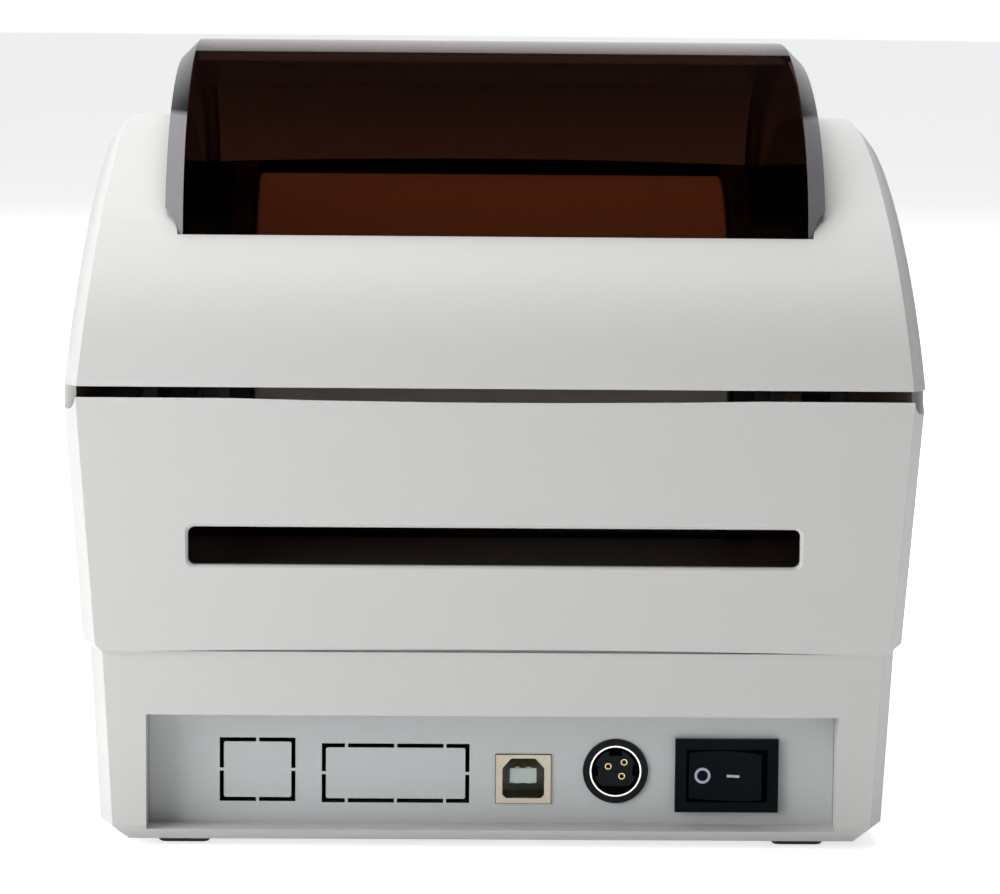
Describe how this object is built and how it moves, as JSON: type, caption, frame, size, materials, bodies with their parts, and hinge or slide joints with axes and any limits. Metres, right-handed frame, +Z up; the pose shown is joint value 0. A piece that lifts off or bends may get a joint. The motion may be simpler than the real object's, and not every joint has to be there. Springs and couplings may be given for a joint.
{
  "type": "thermal label printer",
  "caption": "Desktop thermal label printer with a hinged clamshell lid, smoked window, rear fan-fold slot and recessed connector panel.",
  "frame": {"origin": "on the ground plane under the middle of the printer's outline", "axes": "+Z up, +Y towards the connector side, -Y towards the label exit, +X to the right seen from the label exit"},
  "size_m": [0.1848, 0.222, 0.1708],
  "materials": {
    "shell": "fine textured white-grey ABS",
    "window": "smoked translucent",
    "black": "matte",
    "panel": "matte grey",
    "steel": "plain",
    "aluminium": "plain",
    "board": "solder mask",
    "rubber": "matte",
    "white_plastic": "plain",
    "ceramic": "glazed",
    "clear": "translucent",
    "wire": "insulation"
  },
  "bodies": {
    "chassis": {"base_tray": "shell", "mid_shell": "shell", "media_well": "black", "io_panel": "panel", "usb_shell": "steel", "usb_insert": "white_plastic", "dc_socket_body": "black", "dc_socket_ring": "steel", "switch_housing": "black", "main_board": "board", "board_chips": "black", "board_capacitors": "black", "board_headers": "white_plastic", "rubber_feet": "rubber", "housing_screws": "steel", "board_screws": "steel", "gear_frame": "steel", "plain_frame": "steel", "motor_body": "steel", "platen_bushes": "white_plastic", "front_bezel": "black", "tear_bar": "steel", "sensor_rail": "steel", "hinge_brackets": "black", "hinge_pins": "steel", "latch_catches": "steel", "motor_lead": "wire", "power_lead": "wire"},
    "lid": {"lid_shell": "shell", "lid_window": "window", "lid_frame": "black", "head_pivot_rod": "steel", "head_springs": "steel", "feed_board": "board", "light_pipe": "clear"},
    "head": {"head_bracket": "steel", "heatsink": "aluminium", "print_head": "ceramic"},
    "rocker_body": {"rocker": "black"},
    "motor_rotor": {"motor_pinion": "steel"},
    "idler": {"idler_gear": "white_plastic"},
    "platen": {"platen_shaft": "steel", "platen_rubber": "rubber", "platen_gear": "white_plastic"},
    "left_guide": {"guide_left": "black"},
    "right_guide": {"guide_right": "black"},
    "guide_gear": {"guide_pinion": "white_plastic"},
    "sensor": {"gap_sensor": "black"},
    "left_latch": {"latch_left": "panel"},
    "right_latch": {"latch_right": "panel"},
    "feed": {"feed_button": "panel"}
  },
  "joints": [
    {"name": "lid_hinge", "type": "hinge", "parent": "chassis", "child": "lid", "pos_m": [0, 0.1045, 0.103], "axis": [-1, 0, 0], "range_deg": [0, 80]},
    {"name": "head_pivot", "type": "hinge", "parent": "lid", "child": "head", "pos_m": [0, -0.077, 0.1068], "axis": [-1, 0, 0], "range_deg": [0, 3], "stiffness_Nm_per_rad": 2, "springref_deg": -11.46, "deforming": ["head_springs"]},
    {"name": "rocker_tilt", "type": "hinge", "parent": "chassis", "child": "rocker_body", "pos_m": [-0.051, 0.098, 0.0151], "axis": [0, 0, 1], "range_deg": [0, 16]},
    {"name": "motor_spin", "type": "hinge", "parent": "chassis", "child": "motor_rotor", "pos_m": [0, -0.06229, 0.05301], "axis": [1, 0, 0], "continuous": true},
    {"name": "idler_spin", "type": "hinge", "parent": "chassis", "child": "idler", "pos_m": [0, -0.0755, 0.07061], "axis": [1, 0, 0], "continuous": true},
    {"name": "platen_spin", "type": "hinge", "parent": "chassis", "child": "platen", "pos_m": [0, -0.095, 0.0878], "axis": [1, 0, 0], "continuous": true},
    {"name": "left_guide_slide", "type": "slide", "parent": "chassis", "child": "left_guide", "axis": [1, 0, 0], "range_m": [0, 0.038]},
    {"name": "right_guide_slide", "type": "slide", "parent": "chassis", "child": "right_guide", "axis": [-1, 0, 0], "range_m": [0, 0.038]},
    {"name": "guide_pinion_spin", "type": "hinge", "parent": "chassis", "child": "guide_gear", "pos_m": [0, -0.05, 0.0748], "axis": [0, 0, 1], "range_deg": [0, 273]},
    {"name": "sensor_slide", "type": "slide", "parent": "chassis", "child": "sensor", "axis": [1, 0, 0], "range_m": [-0.02, 0.02]},
    {"name": "left_latch_press", "type": "slide", "parent": "lid", "child": "left_latch", "axis": [1, 0, 0], "range_m": [0, 0.0025], "stiffness_N_per_m": 600, "springref_m": -0.002},
    {"name": "right_latch_press", "type": "slide", "parent": "lid", "child": "right_latch", "axis": [-1, 0, 0], "range_m": [0, 0.0025], "stiffness_N_per_m": 600, "springref_m": -0.002},
    {"name": "feed_button_press", "type": "slide", "parent": "lid", "child": "feed", "axis": [0, 0.6158, -0.7879], "range_m": [0, 0.0012], "stiffness_N_per_m": 500, "springref_m": -0.001}
  ],
  "couplings": [
    {"joint": "idler_spin", "follows": "motor_spin", "ratio": -0.375},
    {"joint": "platen_spin", "follows": "motor_spin", "ratio": 0.6},
    {"joint": "right_guide_slide", "follows": "left_guide_slide", "ratio": 1},
    {"joint": "guide_pinion_spin", "follows": "left_guide_slide", "rad_per_m": 125}
  ]
}
